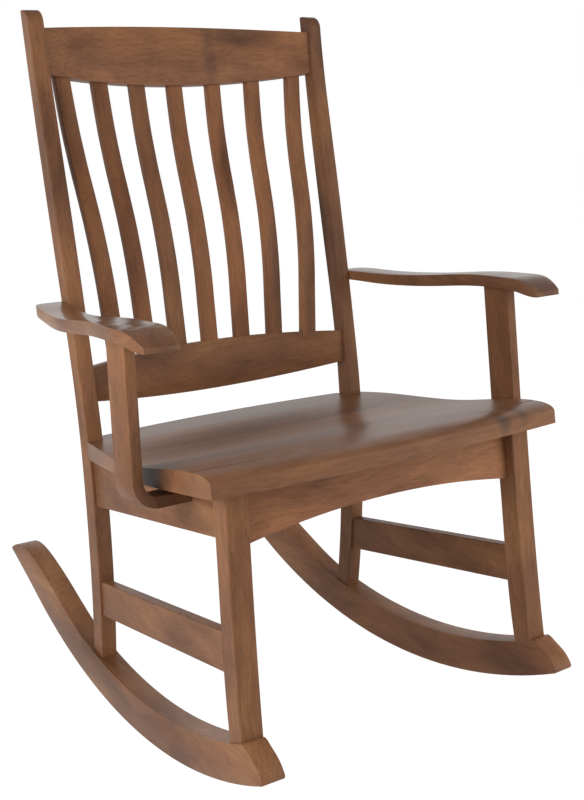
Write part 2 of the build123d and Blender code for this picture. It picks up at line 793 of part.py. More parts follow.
def build_chair():
    """Make every piece in the bench frame and return them by name."""
    parts = {}
    rocker = toed(make_rocker())
    leg, post = leg_blank(), post_blank()
    legs, posts = (leg, mirrored(leg)), (post, mirrored(post))

    # Side frames
    stretcher, stretcher_tenons = make_side_stretcher(leg, post)
    side_apron, side_tenon_pair = make_side_apron(leg, post)
    front_apron, front_tenons = make_front_apron(legs)
    rear_apron, rear_tenons = make_rear_apron()

    # Dowels, lag screws and plugs between the rocker and what stands on it
    dowels, lags, plugs, holes, plug_holes = [], [], [], [], []
    lag_length = lag_in_rocker + lag_in_leg
    for frame in (leg_frame, post_frame):
        for side in (-1, 1):
            place = Pos(0, side * dowel_spacing / 2, 0)
            dowels.append(toed(frame(place * rod(dowel_diameter, -rocker_dowel_down, rocker_dowel_up))))
            holes.append(toed(frame(place * bore(dowel_diameter, -rocker_dowel_down, rocker_dowel_up))))
        place = Pos(0, 0, -lag_in_rocker)
        lag = screw(lag_diameter, lag_head_diameter, lag_head_height, lag_length)
        lags.append(toed(frame(place * lag)))
        holes.append(toed(frame(place * bore(lag_diameter, 0, lag_length))))
        plug = rod(plug_diameter, -spare, -lag_in_rocker - lag_head_height)
        plugs.append(toed(frame(plug)) & rocker)
        plug_hole = rod(plug_diameter + 2 * bore_clearance, -spare, -lag_in_rocker)
        plug_holes.append(toed(frame(plug_hole)))
    for hole in holes + plug_holes:
        rocker = rocker - hole
    for hole in holes:
        leg, post = leg - hole, post - hole

    # Seat and back
    seat = make_seat(posts)
    crest_end_y = post_front(crest_bottom) + crest_face_setback
    crest = bowed_rail(
        crest_end_y, crest_bow, crest_thickness, crest_bottom, -crest_bottom_dip, crest_top, crest_top_rise
    )
    lower_end_y = post_front(lower_rail_top) + lower_rail_face_setback
    lower = bowed_rail(
        lower_end_y, lower_rail_bow, lower_rail_thickness,
        lower_rail_bottom, -lower_rail_bottom_dip, lower_rail_top, lower_rail_top_rise,
    )
    crest_tenon = rail_tenon(crest, crest_end_y, crest_thickness, crest_bottom, crest_top)
    lower_tenon = rail_tenon(lower, lower_end_y, lower_rail_thickness, lower_rail_bottom, lower_rail_top)
    slats = []
    for index in range(slat_count):
        low, high = slat_ends(index)
        slat = make_slat(index) & block(-big, big, 0, big, low, high)
        crest, lower = crest - slat, lower - slat
        slats.append(slat)
    crest = crest + crest_tenon + mirrored(crest_tenon)
    lower = lower + lower_tenon + mirrored(lower_tenon)

    # Arms
    arm = make_arm(post)
    arm_post, arm_tenon = make_arm_post(arm, side_apron)
    arm = arm - arm_tenon
    arm_post = arm_post + arm_tenon
    arm_dowels = []
    joint_z = post_joint_height()
    joint_y = (post_front(joint_z) + post_back(joint_z)) / 2
    for side in (-1, 1):
        place = Pos(post_outer(joint_z), joint_y + side * arm_dowel_spacing / 2, joint_z)
        place = place * Rot(0, 90, 0)
        span = (arm_dowel_diameter, -arm_dowel_in_post, arm_dowel_in_arm)
        arm_dowels.append(toed(place * rod(*span)))
        hole = toed(place * bore(*span))
        arm, post = arm - hole, post - hole

    # Mortises
    for tenon in (*stretcher_tenons, *side_tenon_pair, front_tenons[0]):
        leg = leg - tenon
    for tenon in (*stretcher_tenons, *side_tenon_pair, rear_tenons[0], crest_tenon, lower_tenon):
        post = post - tenon
    stretcher = stretcher + stretcher_tenons[0] + stretcher_tenons[1]
    side_apron_body = side_apron + side_tenon_pair[0] + side_tenon_pair[1]
    front_apron_body = front_apron + front_tenons[0] + front_tenons[1]
    rear_apron_body = rear_apron + rear_tenons[0] + rear_tenons[1]

    # Corner blocks and their screws
    apron_outer_x = side_apron.bounding_box().max.X - apron_taper
    apron_inner_x = apron_outer_x - apron_thickness
    front_face = front_apron_y + apron_thickness
    rear_face = rear_apron.bounding_box().min.Y
    block_screws, block_pilots, seat_screws = [], [], []
    blocks = {}
    block_screw_length = block_screw_seating + screw_in_apron
    seat_screw_length = seat_screw_seating + screw_in_seat
    for name, face_y, inward in (("front", front_face, 1), ("rear", rear_face, -1)):
        centre = (apron_inner_x - block_reach / 2, face_y + inward * block_reach / 2)
        neighbours = (front_apron, rear_apron, side_apron, *legs, *posts)
        piece = corner_block(centre, inward * 45, neighbours)
        z = under_seat_height(centre[1]) - block_height / 2
        apron_end = (apron_inner_x - block_reach, face_y + inward * block_screw_seating, z)
        side_end = (apron_inner_x - block_screw_seating, face_y + inward * block_reach, z)
        for plane in (facing(apron_end, (0, -inward, 0)), facing(side_end, (1, 0, 0))):
            hole = plane * pilot(block_screw_length)
            piece = piece - hole - plane * counterbore()
            side_apron_body = side_apron_body - hole
            block_screws.append(plane * wood_screw(block_screw_length))
            block_pilots.append(hole)
        seat_z = under_seat_height(centre[1])
        upward = facing((centre[0], centre[1], seat_z - seat_screw_seating), (0, 0, 1))
        hole = upward * pilot(seat_screw_length)
        blocks[name] = piece - hole - upward * counterbore()
        seat = seat - hole - mirrored(hole)
        seat_screws.append(upward * wood_screw(seat_screw_length))
    for hole in block_pilots:
        front_apron_body = front_apron_body - hole - mirrored(hole)
        rear_apron_body = rear_apron_body - hole - mirrored(hole)

    # Screws through the side apron into the foot of the arm post
    foot_screws = []
    foot_z = arm_post_foot_bottom + arm_post_thickness / 2
    foot_y = arm_post.bounding_box().max.Y - arm_post_depth / 2
    foot_screw_length = foot_screw_seating + screw_in_foot
    for side in (-1, 1):
        along = foot_y + side * foot_screw_spacing / 2
        plane = facing((apron_outer_x - foot_screw_seating, along, foot_z), (1, 0, 0))
        hole = plane * pilot(foot_screw_length)
        side_apron_body = side_apron_body - hole - plane * counterbore()
        arm_post = arm_post - hole
        foot_screws.append(plane * wood_screw(foot_screw_length))

    pairs = {
        "rocker": rocker, "front_leg": leg, "rear_post": post, "side_stretcher": stretcher,
        "side_apron": side_apron_body, "arm": arm, "arm_post": arm_post,
        "corner_block_front": blocks["front"], "corner_block_rear": blocks["rear"],
    }
    for name, shape in pairs.items():
        parts[name + "_left"] = shape
        parts[name + "_right"] = mirrored(shape)
    parts["front_apron"] = front_apron_body
    parts["rear_apron"] = rear_apron_body
    for number, board in enumerate(part_boards(seat), 1):
        parts["seat_board_" + str(number)] = board
    parts["crest_rail"] = crest
    parts["lower_back_rail"] = lower
    for number, slat in enumerate(slats, 1):
        parts["back_slat_" + str(number)] = slat
    groups = {
        "rocker_dowels": dowels, "rocker_screws": lags, "rocker_plugs": plugs,
        "arm_dowels": arm_dowels, "arm_post_screws": foot_screws,
        "corner_block_screws": block_screws, "seat_screws": seat_screws,
    }
    for name, shapes in groups.items():
        parts[name] = Compound(children=[*shapes, *(mirrored(s) for s in shapes)])
    return parts


def post_joint_height():
    """Height of the middle of the arm where it lies against the rear post."""
    y = arm_top_line[0][0] - arm_dowel_setback
    top = station_curve(sorted(arm_top_line), y)[0]
    under = station_curve(sorted(arm_under_line), y)[0]
    return seat_under_height + (top + under) / 2


def balance_lean(parts):
    """The lean at which the centre of gravity stands over the rockers' point of contact."""
    mass = moment_y = moment_z = 0.0
    for name, shape in parts.items():
        density = steel_density if name.endswith("screws") else wood_density
        for solid in shape.solids():
            weight = solid.volume * density
            centre = solid.center(CenterOf.MASS)
            mass += weight
            moment_y += weight * centre.Y
            moment_z += weight * centre.Z
    y, z = moment_y / mass, moment_z / mass
    lean = math.degrees(math.atan2(y - rocker_centre_y, rocker_centre_z - z))
    print("mass", round(mass / 1000, 2), "kg, leaned back", round(lean, 3), "degrees")
    return lean


def stand_on_floor(parts):
    """Lean the chair back to its balance and put its box's bottom centre at the origin."""
    lean = Rot(-balance_lean(parts), 0, 0)
    leaned = {name: lean * shape for name, shape in parts.items()}
    boxes = [shape.bounding_box() for shape in leaned.values()]
    middle_y = (min(b.min.Y for b in boxes) + max(b.max.Y for b in boxes)) / 2
    floor = min(b.min.Z for b in boxes)
    return {name: Pos(0, -middle_y, -floor) * shape for name, shape in leaned.items()}


os.makedirs("parts", exist_ok=True)
chair = stand_on_floor(build_chair())
for node, shape in chair.items():
    export_step(shape, "parts/" + node + ".step")
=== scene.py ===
import math

import bmesh
import bpy
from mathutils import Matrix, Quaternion, Vector


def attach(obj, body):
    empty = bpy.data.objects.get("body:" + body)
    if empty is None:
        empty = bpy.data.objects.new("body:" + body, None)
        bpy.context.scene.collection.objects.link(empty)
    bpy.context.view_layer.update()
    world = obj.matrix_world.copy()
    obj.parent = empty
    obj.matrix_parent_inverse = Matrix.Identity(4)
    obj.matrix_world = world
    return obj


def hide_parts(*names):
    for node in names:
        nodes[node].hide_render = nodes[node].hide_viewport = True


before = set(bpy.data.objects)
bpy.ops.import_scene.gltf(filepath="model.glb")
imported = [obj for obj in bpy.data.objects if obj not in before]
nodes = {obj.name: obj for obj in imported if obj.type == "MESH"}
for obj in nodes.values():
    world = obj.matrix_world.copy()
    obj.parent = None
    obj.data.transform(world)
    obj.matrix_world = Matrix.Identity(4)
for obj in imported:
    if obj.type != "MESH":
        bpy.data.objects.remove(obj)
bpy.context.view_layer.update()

# Rockers: two long runners sawn from thick hickory boards, with the grain running from nose to tail.
# They are stained a mid brown and rubbed to a satin finish, and every arris is eased by hand.
grain_across = (0, 0, 0)
grain_along = (0, 0, math.radians(-90))


def grain_up(angle):
    """Turn for a piece that stands, leaning back by an angle in degrees."""
    return (math.radians(angle), math.radians(90), 0)


def join(tree, kind, links=(), **settings):
    """Add a node, set its properties, and feed its sockets from values or other sockets."""
    node = tree.nodes.new(kind)
    for name, value in settings.items():
        setattr(node, name, value)
    for socket, source in dict(links).items():
        if isinstance(source, bpy.types.NodeSocket):
            tree.links.new(source, node.inputs[socket])
        else:
            node.inputs[socket].default_value = source
    return node


def calc(tree, operation, *terms):
    """One step of arithmetic between values or sockets."""
    return join(tree, "ShaderNodeMath", dict(enumerate(terms)), operation=operation).outputs[0]


def length_of(tree, vector):
    """The length of a vector."""
    return join(tree, "ShaderNodeVectorMath", {0: vector}, operation="LENGTH").outputs["Value"]


def mapped(tree, value, before, after, **settings):
    """A value carried from one range to another."""
    links = dict(enumerate((value, *before, *after)))
    return join(tree, "ShaderNodeMapRange", links, **settings).outputs[0]


def stretched_noise(tree, grain, stretch, scale, detail, seed):
    """Noise drawn out along the grain: how many times longer than wide its streaks are."""
    shrink = (1 / stretch, 1, 1)
    squeeze = join(tree, "ShaderNodeVectorMath", {0: grain, 1: shrink}, operation="MULTIPLY")
    noise = join(
        tree, "ShaderNodeTexNoise",
        {"Vector": squeeze.outputs[0], "W": seed, "Scale": scale, "Detail": detail, "Roughness": 0.55},
        noise_dimensions="4D",
    )
    return noise.outputs["Fac"]


def ramp(tree, factor, stops, steps="LINEAR"):
    """A colour ramp from (position, colour) stops; a plain number as colour is a grey."""
    node = join(tree, "ShaderNodeValToRGB", {"Fac": factor})
    node.color_ramp.interpolation = steps
    elements = node.color_ramp.elements
    while len(elements) < len(stops):
        elements.new(0.5)
    for element, (position, colour) in zip(elements, stops):
        element.position = position
        element.color = (*colour, 1) if isinstance(colour, tuple) else (colour, colour, colour, 1)
    return node.outputs["Color"]


def tinted(tree, amount, under, over):
    """Multiply one colour by another, by an amount."""
    node = join(
        tree, "ShaderNodeMix", {0: amount, 6: under, 7: over}, data_type="RGBA", blend_type="MULTIPLY"
    )
    return node.outputs[2]


def blank_material(name):
    """A new material and its node tree, still empty."""
    material = bpy.data.materials.new(name)
    material.use_nodes = True
    material.node_tree.nodes.clear()
    return material, material.node_tree


def hickory(
    name, turn, seed, tone=1.0, pith=(0.09, 0.05), streaks=0.55, gloss=0.36, shine=0.15,
    clouding=1.0, porous=0.65, raised=0.10, patchy=0.06, stains_and_shade=(), by_slat=None,
):
    """Stained hickory: soft clouds of brown, growth rings, fibres, pores and mineral streaks.

    The turn lays the grain along the board, and the pith is where the rings have their middle.
    Gloss is the roughness and patchy its change, shine the reflection's strength, and raised
    the height of the fibres. Each stain, or patch of painted shade, is a place, its reach in X, Y
    and Z, and the shade that it takes the wood to. By_slat holds a tone for each slat.
    """
    material, tree = blank_material(name)
    place = join(tree, "ShaderNodeTexCoord").outputs["Object"]
    board = {"Vector": place, "Rotation": turn, "Location": (seed, 0, 0)}
    grain = join(tree, "ShaderNodeMapping", board).outputs[0]
    if by_slat:
        # Each slat takes its figure from another stretch of the board
        number = join(tree, "ShaderNodeAttribute", attribute_name="slat").outputs["Fac"]
        shift = join(tree, "ShaderNodeCombineXYZ", {0: calc(tree, "MULTIPLY", number, 1.37)})
        grain = join(tree, "ShaderNodeVectorMath", {0: grain, 1: shift.outputs[0]}).outputs[0]

    # The grain wanders: every pattern below is read from a gently bent place
    bend = join(tree, "ShaderNodeTexNoise", {"Vector": grain, "Scale": 5.5, "Detail": 1.5})
    bent = join(
        tree, "ShaderNodeVectorMath",
        {0: bend.outputs["Color"], 1: (0.02, 0.045, 0.045), 2: grain}, operation="MULTIPLY_ADD",
    )
    grain = bent.outputs[0]

    # Soft clouds of darker and warmer wood
    clouds = stretched_noise(tree, grain, 3.5, 15, 4, seed + 2)
    browns = (
        (0.30, 0.50, 0.49, 0.52), (0.43, 0.80, 0.79, 0.82), (0.52, 1.0, 1.0, 1.0),
        (0.60, 1.18, 1.20, 1.13), (0.72, 1.50, 1.62, 1.54),
    )
    middle_brown = (0.212 * tone, 0.0945 * tone, 0.0450 * tone)
    stops = []
    for at, *changes in browns:
        softened = [1 + clouding * (change - 1) for change in changes]
        stops.append((at, tuple(level * change for level, change in zip(middle_brown, softened))))
    base = ramp(tree, clouds, stops)

    # Growth rings: distance from the pith, which runs almost straight along the board
    rings_per_metre = 170.0
    flat = join(tree, "ShaderNodeVectorMath", {0: grain, 1: (0.03, 1, 1)}, operation="MULTIPLY")
    from_pith = {0: flat.outputs[0], 1: (0.03 * seed, *pith)}
    away = join(tree, "ShaderNodeVectorMath", from_pith, operation="SUBTRACT")
    radius = length_of(tree, away.outputs[0])
    ring = calc(tree, "FRACT", calc(tree, "MULTIPLY", radius, rings_per_metre))
    ring_shade = ramp(tree, ring, [(0.0, 0.80), (0.3, 0.98), (0.8, 1.02), (1.0, 0.80)])
    faint = stretched_noise(tree, grain, 3, 14, 2, seed + 1)
    ring_strength = mapped(tree, faint, (0.4, 0.65), (0.05, 0.6))

    # Fibres, pores and mineral streaks
    fibres = stretched_noise(tree, grain, 16, 330, 4, seed + 3)
    fibre_shade = ramp(tree, fibres, [(0.30, 0.74), (0.5, 0.99), (0.72, 1.14)])
    pores = stretched_noise(tree, grain, 9, 620, 2, seed + 4)
    pore_shade = ramp(tree, pores, [(0.32, 0.58), (0.43, 1.0)])
    streak = stretched_noise(tree, grain, 3.2, 9, 4, seed + 5)
    streak_shade = ramp(tree, streak, [(0.56, (1.0, 1.0, 1.0)), (0.68, (0.58, 0.62, 0.70))])
    colour = tinted(tree, ring_strength, base, ring_shade)
    colour = tinted(tree, 0.75, colour, fibre_shade)
    colour = tinted(tree, porous, colour, pore_shade)
    colour = tinted(tree, streaks, colour, streak_shade)

    # Stains and painted shade: each darkens the wood around a place, fades out with distance, and the
    # clouds make its edge ragged
    for centre, reach, shade in stains_and_shade:
        off = join(tree, "ShaderNodeVectorMath", {0: place, 1: centre}, operation="SUBTRACT")
        shrunk = join(tree, "ShaderNodeVectorMath", {0: off.outputs[0], 1: reach}, operation="DIVIDE")
        far = length_of(tree, shrunk.outputs[0])
        ragged = calc(tree, "MULTIPLY_ADD", clouds, 1.3, far)
        edge = calc(tree, "MULTIPLY", ragged, 0.5)
        colour = tinted(tree, 1.0, colour, ramp(tree, edge, [(0.45, shade), (0.80, (1.0, 1.0, 1.0))]))
    if by_slat:
        share = calc(tree, "MULTIPLY", number, 1 / len(by_slat))
        tones = [(index / len(by_slat), shade) for index, shade in enumerate(by_slat)]
        colour = tinted(tree, 1.0, colour, ramp(tree, share, tones, "CONSTANT"))

    rough = mapped(tree, fibres, (0.3, 0.7), (gloss + patchy, gloss - patchy / 2))
    bump = join(tree, "ShaderNodeBump", {"Strength": raised, "Distance": 0.0004, "Height": fibres})
    shader = join(tree, "ShaderNodeBsdfPrincipled", {
        "Base Color": colour, "Roughness": rough, "Normal": bump.outputs[0],
        "IOR": 1.5, "Specular IOR Level": shine,
    })
    join(tree, "ShaderNodeOutputMaterial", {"Surface": shader.outputs[0]})
    return material


def dress(piece, material):
    """Give an object one material all over."""
    piece.data.materials.clear()
    piece.data.materials.append(material)
    piece.data.polygons.foreach_set("material_index", [0] * len(piece.data.polygons))


same_place = 1e-6
flat_within = math.radians(0.6)
arris_angle = math.radians(32)
crease_angle = math.radians(34)


def merged_copy(node):
    """The CAD piece's mesh again, with its triangles joined up."""
    shape = bmesh.new()
    shape.from_mesh(nodes[node].data)
    bmesh.ops.remove_doubles(shape, verts=shape.verts, dist=same_place)
    return shape


def frozen(piece):
    """Turn an object's modifiers into plain mesh."""
    seen = piece.evaluated_get(bpy.context.evaluated_depsgraph_get())
    result = bpy.data.meshes.new_from_object(seen)
    piece.modifiers.clear()
    piece.data = result


def round_over(piece, width):
    """Ease the sharp arrises of a piece."""
    bevel = piece.modifiers.new("ease", "BEVEL")
    bevel.width = width
    bevel.segments = 3
    bevel.limit_method = "ANGLE"
    bevel.angle_limit = arris_angle
    frozen(piece)
    piece.data.shade_smooth()
    piece.data.set_sharp_from_angle(angle=crease_angle)


def add_object(name, data):
    """Put a new object, made of the given mesh, lamp or camera, into the scene."""
    piece = bpy.data.objects.new(name, data)
    bpy.context.scene.collection.objects.link(piece)
    return piece


def eased(node, width, material):
    """The CAD piece again with its arrises rounded over, standing for the plain one."""
    shape = merged_copy(node)
    bmesh.ops.dissolve_limit(shape, angle_limit=flat_within, verts=shape.verts, edges=shape.edges)
    mesh = bpy.data.meshes.new(node + "_eased")
    shape.to_mesh(mesh)
    shape.free()
    piece = add_object(node + "_eased", mesh)
    round_over(piece, width)
    dress(piece, material)
    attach(piece, "root")
    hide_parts(node)
    return piece


# The far (left) rocker is toned lighter, partly its own colour and partly painted light on its shaded
# side
rocker_tones_and_painted_light = {"left": 1.1, "right": 0.95}
rocker_stains = {
    "right": [((-0.27, 0.05, 0.07), (0.05, 0.09, 0.035), (0.80, 0.76, 0.74))],
    "left": [((0.25, -0.36, 0.08), (0.05, 0.06, 0.03), (0.86, 0.84, 0.84))],
}
for side, seed in (("left", 1.3), ("right", 4.1)):
    wood = hickory(
        "rocker " + side, grain_along, seed, tone=rocker_tones_and_painted_light[side], pith=(0.26, 0.10),
        streaks=0.45, shine=0.2, porous=0.45, raised=0.06, patchy=0.03, stains_and_shade=rocker_stains[side],
    )
    eased("rocker_" + side, 0.002, wood)

# Dowels, lag screws and plugs: two dowels and a screw go up from the rocker into each leg and post,
# with the screw's head sunk and hidden by a round plug sanded flush. Two thinner dowels hold
# each arm to its post.
plug_wood = hickory("plug", grain_across, 9.4, tone=1.2, gloss=0.42)
for node in ("rocker_dowels", "rocker_plugs", "arm_dowels"):
    dress(nodes[node], plug_wood)


def steel(name, level, roughness):
    """Plated screw steel with faint drawing marks."""
    material, tree = blank_material(name)
    place = join(tree, "ShaderNodeTexCoord").outputs["Object"]
    noise = join(tree, "ShaderNodeTexNoise", {"Vector": place, "Scale": 900, "Detail": 3})
    marks = noise.outputs["Fac"]
    shade = ramp(tree, marks, [(0.35, level * 0.8), (0.65, level * 1.1)])
    rough = mapped(tree, marks, (0.3, 0.7), (roughness - 0.06, roughness + 0.08))
    bump = join(tree, "ShaderNodeBump", {"Strength": 0.1, "Distance": 0.0001, "Height": marks})
    shader = join(tree, "ShaderNodeBsdfPrincipled", {
        "Base Color": shade, "Roughness": rough, "Normal": bump.outputs[0], "Metallic": 1.0,
    })
    join(tree, "ShaderNodeOutputMaterial", {"Surface": shader.outputs[0]})
    return material


screw_steel = steel("screw steel", 0.42, 0.34)
dress(nodes["rocker_screws"], screw_steel)

# Front legs and rear posts: straight-grained sticks, the posts bent back from the seat up.
# Both are sawn with a gentle sweep, sanded round at the arrises and stained with the rest.
leg_tones = {"left": 0.92, "right": 0.94}
leg_stains = {
    "left": [((0.27, -0.358, 0.23), (0.05, 0.05, 0.05), (0.80, 0.80, 0.86))],
    "right": [((-0.285, -0.33, 0.30), (0.03, 0.04, 0.06), (0.84, 0.82, 0.82))],
}
post_stains = {
    "left": [((0.30, 0.17, 1.02), (0.06, 0.20, 0.25), (0.55, 0.60, 0.74))],
    "right": [((-0.30, 0.17, 1.06), (0.05, 0.20, 0.12), (0.74, 0.74, 0.78))],
}
for side, seed in (("left", 2.2), ("right", 7.7)):
    wood = hickory(
        "front leg " + side, grain_up(6), seed, tone=leg_tones[side], pith=(0.05, 0.07),
        stains_and_shade=leg_stains[side],
    )
    dress(nodes["front_leg_" + side], wood)
    wood = hickory(
        "rear post " + side, grain_up(11), seed + 1, tone=0.88, pith=(0.08, 0.06),
        stains_and_shade=post_stains[side],
    )
    dress(nodes["rear_post_" + side], wood)

# Side stretchers: plain boards set on edge, tenoned into the leg and the post on each side.
# Their long arrises are rounded like those of the legs, and they take the same brown stain.
stretcher_stains = {
    "left": [],
    "right": [((-0.268, -0.205, 0.20), (0.06, 0.075, 0.04), (0.66, 0.66, 0.70))],
}
for side, seed in (("left", 3.4), ("right", 5.9)):
    wood = hickory(
        "side stretcher " + side, grain_along, seed, tone=0.87, pith=(0.3, 0.16),
        stains_and_shade=stretcher_stains[side],
    )
    dress(nodes["side_stretcher_" + side], wood)

# Aprons: four boards under the seat, tenoned into the legs and posts, that carry it.
# The front one's lower edge is sawn to a shallow arch.
apron_stains = {
    "left": [],
    "right": [((-0.266, -0.268, 0.388), (0.06, 0.10, 0.030), (0.62, 0.64, 0.70))],
}
for side, seed in (("left", 3.4), ("right", 5.9)):
    wood = hickory(
        "side apron " + side, grain_along, seed + 1, tone=0.88, pith=(0.3, 0.5),
        stains_and_shade=apron_stains[side],
    )
    eased("side_apron_" + side, 0.0015, wood)
wood = hickory("front apron", grain_across, 6.3, tone=1.45, pith=(-0.45, 0.36))
eased("front_apron", 0.0018, wood)
wood = hickory("rear apron", grain_across, 8.1, pith=(0.2, 0.3))
eased("rear_apron", 0.0015, wood)

# Corner blocks: rough short blocks, glued and screwed into the corners between the aprons.
# They are hidden under the seat, which is screwed down to them, and only wiped with stain.
block_seeds = {"front_left": 11.0, "front_right": 12.0, "rear_left": 10.0, "rear_right": 11.0}
for corner, seed in block_seeds.items():
    wood = hickory("corner block " + corner.replace("_", " "), grain_across, seed, tone=1.25, gloss=0.5)
    dress(nodes["corner_block_" + corner], wood)

# Wood screws: pan heads with a cross recess, driven through the corner blocks and side aprons.
# Their shanks are hidden, and their heads sit at the bottom of counterbored holes.
screw_sizes = {
    "Head diameter": 0.0084, "Head height": 0.0030, "Shank diameter": 0.0042,
    "Recess width": 0.0011, "Recess length": 0.0046, "Recess depth": 0.0016,
}


def sized_tree(name, sizes, takes_geometry):
    """An empty Geometry Nodes tree with a named input for each size."""
    tree = bpy.data.node_groups.new(name, "GeometryNodeTree")
    if takes_geometry:
        tree.interface.new_socket("Geometry", in_out="INPUT", socket_type="NodeSocketGeometry")
    for size, value in sizes.items():
        socket = tree.interface.new_socket(size, in_out="INPUT", socket_type="NodeSocketFloat")
        socket.default_value = value
    tree.interface.new_socket("Geometry", in_out="OUTPUT", socket_type="NodeSocketGeometry")
    return tree, join(tree, "NodeGroupInput").outputs


def finish_tree(tree, geometry, material):
    """End a tree with real geometry that has its material."""
    real = join(tree, "GeometryNodeRealizeInstances", {"Geometry": geometry}).outputs[0]
    coated = join(tree, "GeometryNodeSetMaterial", {"Geometry": real, "Material": material})
    join(tree, "NodeGroupOutput", {"Geometry": coated.outputs[0]})


def grow(piece, tree, sizes):
    """Run a tree on a piece with the given sizes and keep the plain mesh."""
    grower = piece.modifiers.new(tree.name, "NODES")
    grower.node_group = tree
    for item in tree.interface.items_tree:
        if item.in_out == "INPUT" and item.name in sizes:
            grower[item.identifier] = sizes[item.name]
    frozen(piece)


def xyz(tree, x, y, z):
    """A vector from three values."""
    return join(tree, "ShaderNodeCombineXYZ", {0: x, 1: y, 2: z}).outputs[0]


def shifted(tree, geometry, z):
    """Geometry moved up or down."""
    move = {"Geometry": geometry, "Translation": xyz(tree, 0.0, 0.0, z)}
    return join(tree, "GeometryNodeTransform", move).outputs[0]


rim_share = 0.6
crown_share = 0.4
crown_width = 0.72


def screw_tree(length):
    """Screws on points: each stands along its point's axis, with its head below the point.

    The head is an upright rim with a crown that narrows, and the cross is cut into the crown.
    """
    tree, size = sized_tree("screws", {**screw_sizes, "Length": length}, True)
    half = calc(tree, "MULTIPLY", size["Head diameter"], 0.5)
    height = size["Head height"]
    body = join(tree, "GeometryNodeMeshCylinder", {
        "Vertices": 32, "Radius": half, "Depth": calc(tree, "MULTIPLY", height, rim_share),
    }).outputs["Mesh"]
    body = shifted(tree, body, calc(tree, "MULTIPLY", height, -rim_share / 2))
    crown = join(tree, "GeometryNodeMeshCone", {
        "Vertices": 32, "Radius Top": half,
        "Radius Bottom": calc(tree, "MULTIPLY", half, crown_width),
        "Depth": calc(tree, "MULTIPLY", height, crown_share),
    }).outputs["Mesh"]
    crown = shifted(tree, crown, calc(tree, "MULTIPLY", height, -1.0))
    shank_radius = calc(tree, "MULTIPLY", size["Shank diameter"], 0.5)
    shank = join(tree, "GeometryNodeMeshCylinder", {
        "Vertices": 16, "Radius": shank_radius, "Depth": size["Length"],
    }).outputs["Mesh"]
    shank = shifted(tree, shank, calc(tree, "MULTIPLY", size["Length"], 0.5))
    solid = join(tree, "GeometryNodeMeshBoolean", {"Mesh 2": body}, operation="UNION")
    for part in (crown, shank):
        tree.links.new(part, solid.inputs["Mesh 2"])
    depth = calc(tree, "MULTIPLY", size["Recess depth"], 2.0)
    cross = join(tree, "GeometryNodeMeshBoolean", operation="UNION", solver="EXACT")
    for x, y in (("Recess width", "Recess length"), ("Recess length", "Recess width")):
        bar = join(tree, "GeometryNodeMeshCube", {"Size": xyz(tree, size[x], size[y], depth)})
        tree.links.new(bar.outputs["Mesh"], cross.inputs["Mesh 2"])
    recess = shifted(tree, cross.outputs["Mesh"], calc(tree, "MULTIPLY", height, -1.0))
    cut = join(
        tree, "GeometryNodeMeshBoolean", {"Mesh 1": solid.outputs["Mesh"], "Mesh 2": recess},
        operation="DIFFERENCE", solver="EXACT",
    )
    axis = join(tree, "GeometryNodeInputNamedAttribute", {"Name": "axis"}, data_type="FLOAT_VECTOR")
    turn = join(tree, "FunctionNodeAlignEulerToVector", {"Vector": axis.outputs[0]}, axis="Z")
    screws = join(tree, "GeometryNodeInstanceOnPoints", {
        "Points": size["Geometry"], "Instance": cut.outputs["Mesh"], "Rotation": turn.outputs[0],
    })
    finish_tree(tree, screws.outputs[0], screw_steel)
    return tree


def middle_of(points):
    """The mean of some points."""
    return sum(points, Vector()) / len(points)


head_top_share = 0.97
head_crease_angle = math.radians(30)


def screw_places(node):
    """Where each screw of a CAD node has its head's underside, its direction and its length."""
    shape = merged_copy(node)
    head_radius = screw_sizes["Head diameter"] / 2
    places, left = [], set(shape.verts)
    while left:
        group, queue = set(), [next(vertex for vertex in shape.verts if vertex in left)]
        while queue:
            vertex = queue.pop()
            if vertex not in group:
                group.add(vertex)
                queue.extend(edge.other_vert(vertex) for edge in vertex.link_edges)
        left -= group
        # Taken in the mesh's own order, so that the means below come out the same in every run
        points = [vertex.co.copy() for vertex in shape.verts if vertex in group]
        centre = middle_of(points)
        tip = max(points, key=lambda point: (point - centre).length)
        end = middle_of([point for point in points if (point - tip).length < head_radius])
        reach = head_top_share * max((point - end).length for point in points)
        head_top = middle_of([point for point in points if (point - end).length > reach])
        axis = (end - head_top).normalized()
        seat = head_top + axis * screw_sizes["Head height"]
        places.append((seat, axis, (end - seat).length))
    shape.free()
    return places


for node in ("corner_block_screws", "seat_screws", "arm_post_screws"):
    places = screw_places(node)
    mesh = bpy.data.meshes.new(node + "_heads")
    mesh.from_pydata([seat for seat, axis, length in places], [], [])
    axes = mesh.attributes.new("axis", "FLOAT_VECTOR", "POINT")
    axes.data.foreach_set("vector", [value for seat, axis, length in places for value in axis])
    screws = add_object(node + "_heads", mesh)
    length = places[0][2]
    grow(screws, screw_tree(length), {**screw_sizes, "Length": length})
    screws.data.shade_smooth()
    screws.data.set_sharp_from_angle(angle=head_crease_angle)
    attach(screws, "root")
    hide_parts(node)

# Seat: five wide boards glued edge to edge, with the grain from side to side, then scooped and sanded.
# The boards come from different planks, so their tone and figure change at each glue line.
seat_tones = (0.88, 0.88, 1.03, 0.86, 0.73)
